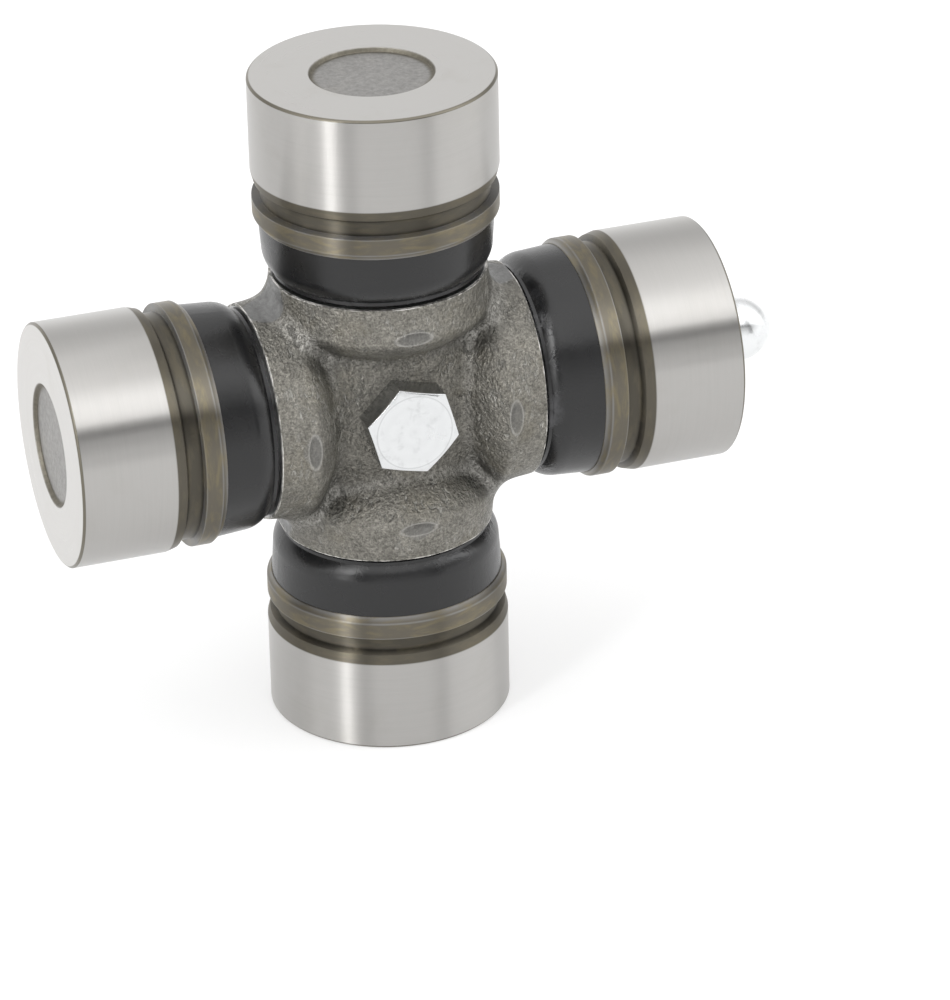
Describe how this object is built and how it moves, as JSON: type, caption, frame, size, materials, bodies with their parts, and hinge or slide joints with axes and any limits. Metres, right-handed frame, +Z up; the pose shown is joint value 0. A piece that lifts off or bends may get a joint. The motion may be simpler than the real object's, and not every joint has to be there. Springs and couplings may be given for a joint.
{
  "type": "universal joint cross",
  "caption": "Forged universal joint cross with needle roller bearing cups and rubber dust seals on its trunnions, a hexagon plug in the hub and a grease nipple in an end cup.",
  "frame": {"origin": "where the two trunnion axes cross, in the middle of the spider", "axes": "+Z up the upright trunnions, +X along the other pair towards the cup with the grease nipple, -Y towards the face of the hexagon plug; it stands on the end face of the lower cup"},
  "size_m": [0.1079, 0.035, 0.098],
  "materials": {
    "forged_steel": "shot-blasted forging skin",
    "ground_steel": "ground land, turned groove and lip",
    "roller_steel": "polished",
    "retainer_steel": "pressed sheet",
    "zinc_plated_steel": "bright zinc plate",
    "seal_rubber": "satin black",
    "washer_plastic": "moulded"
  },
  "bodies": {
    "spider": {"spider": "forged_steel", "centre_plug": "zinc_plated_steel"},
    "cap_top": {"bearing_cup_top": "ground_steel", "thrust_washer_top": "washer_plastic", "roller_retainer_top": "retainer_steel", "dust_seal_top": "seal_rubber"},
    "rollers_top": {"needle_rollers_top": "roller_steel"},
    "cap_right": {"bearing_cup_right": "ground_steel", "thrust_washer_right": "washer_plastic", "roller_retainer_right": "retainer_steel", "dust_seal_right": "seal_rubber", "grease_nipple": "zinc_plated_steel"},
    "rollers_right": {"needle_rollers_right": "roller_steel"},
    "cap_bottom": {"bearing_cup_bottom": "ground_steel", "thrust_washer_bottom": "washer_plastic", "roller_retainer_bottom": "retainer_steel", "dust_seal_bottom": "seal_rubber"},
    "rollers_bottom": {"needle_rollers_bottom": "roller_steel"},
    "cap_left": {"bearing_cup_left": "ground_steel", "thrust_washer_left": "washer_plastic", "roller_retainer_left": "retainer_steel", "dust_seal_left": "seal_rubber"},
    "rollers_left": {"needle_rollers_left": "roller_steel"}
  },
  "joints": [
    {"name": "cap_top_turn", "type": "hinge", "parent": "spider", "child": "cap_top", "pos_m": [0, 0, 0.03675], "axis": [0, 0, 1], "continuous": true},
    {"name": "rollers_top_turn", "type": "hinge", "parent": "spider", "child": "rollers_top", "pos_m": [0, 0, 0.03675], "axis": [0, 0, 1], "continuous": true},
    {"name": "cap_right_turn", "type": "hinge", "parent": "spider", "child": "cap_right", "pos_m": [0.03675, 0, 0], "axis": [1, 0, 0], "continuous": true},
    {"name": "rollers_right_turn", "type": "hinge", "parent": "spider", "child": "rollers_right", "pos_m": [0.03675, 0, 0], "axis": [1, 0, 0], "continuous": true},
    {"name": "cap_bottom_turn", "type": "hinge", "parent": "spider", "child": "cap_bottom", "pos_m": [0, 0, -0.03675], "axis": [0, 0, -1], "continuous": true},
    {"name": "rollers_bottom_turn", "type": "hinge", "parent": "spider", "child": "rollers_bottom", "pos_m": [0, 0, -0.03675], "axis": [0, 0, -1], "continuous": true},
    {"name": "cap_left_turn", "type": "hinge", "parent": "spider", "child": "cap_left", "pos_m": [-0.03675, 0, 0], "axis": [-1, 0, 0], "continuous": true},
    {"name": "rollers_left_turn", "type": "hinge", "parent": "spider", "child": "rollers_left", "pos_m": [-0.03675, 0, 0], "axis": [-1, 0, 0], "continuous": true}
  ],
  "couplings": [
    {"joint": "rollers_top_turn", "follows": "cap_top_turn", "ratio": 0.5607},
    {"joint": "rollers_right_turn", "follows": "cap_right_turn", "ratio": 0.5607},
    {"joint": "rollers_bottom_turn", "follows": "cap_bottom_turn", "ratio": 0.5607},
    {"joint": "rollers_left_turn", "follows": "cap_left_turn", "ratio": 0.5607}
  ]
}
